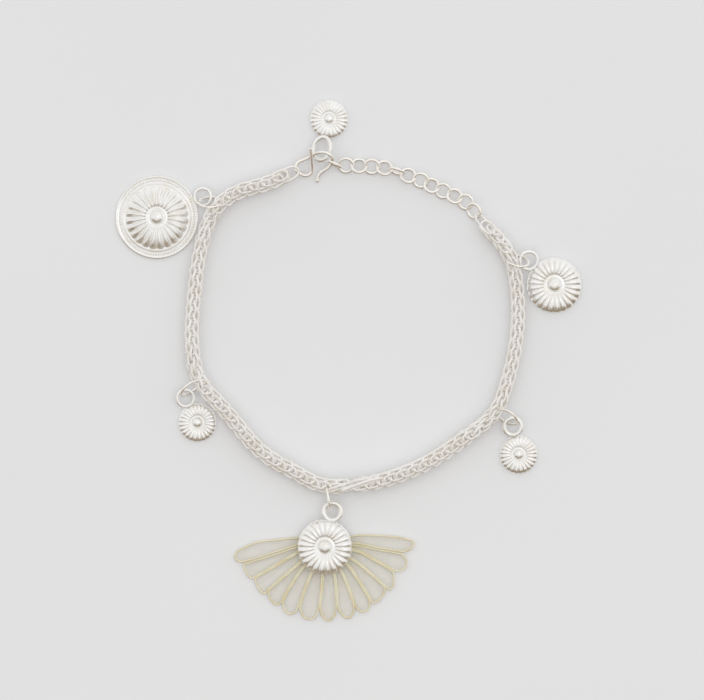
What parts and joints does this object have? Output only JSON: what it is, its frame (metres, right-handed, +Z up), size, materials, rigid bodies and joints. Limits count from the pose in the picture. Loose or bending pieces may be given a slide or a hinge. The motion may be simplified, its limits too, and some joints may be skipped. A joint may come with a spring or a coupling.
{
  "type": "horsehair bracelet",
  "caption": "Silver loop-in-loop chain bracelet with an S-hook, an extender of round links, daisy charms, a rimmed medallion and a fan of woven horsehair loops.",
  "frame": {"origin": "on the table, under the middle of the bracelet as it lies flat", "axes": "+Z up from the table, +Y from the horsehair fan towards the S-hook and the top charm, +X towards the charm on the right"},
  "size_m": [0.0885, 0.0991, 0.0047],
  "materials": {
    "chain_silver": "satin silver wire, whitish, with warm brown-grey reflections",
    "wire_silver": "drawn silver wire, brighter than the chain",
    "satin_silver": "matte, pickled white silver, stamped into petals",
    "horsehair": "pale straw-yellow wound horsehair with a cream, see-through woven filling"
  },
  "bodies": {
    "root": {"main_chain": "chain_silver", "extender_chain": "chain_silver", "medallion_jump_ring": "wire_silver", "right_jump_ring": "wire_silver", "lower_right_jump_ring": "wire_silver", "lower_left_jump_ring": "wire_silver", "bottom_jump_ring": "wire_silver", "extender_hook_ring": "wire_silver", "extender_chain_ring": "wire_silver", "s_hook": "wire_silver", "top_daisy": "satin_silver", "right_daisy": "satin_silver", "lower_right_daisy": "satin_silver", "lower_left_daisy": "satin_silver", "bottom_daisy": "satin_silver", "medallion": "satin_silver", "horsehair_fan": "horsehair"}
  },
  "joints": []
}
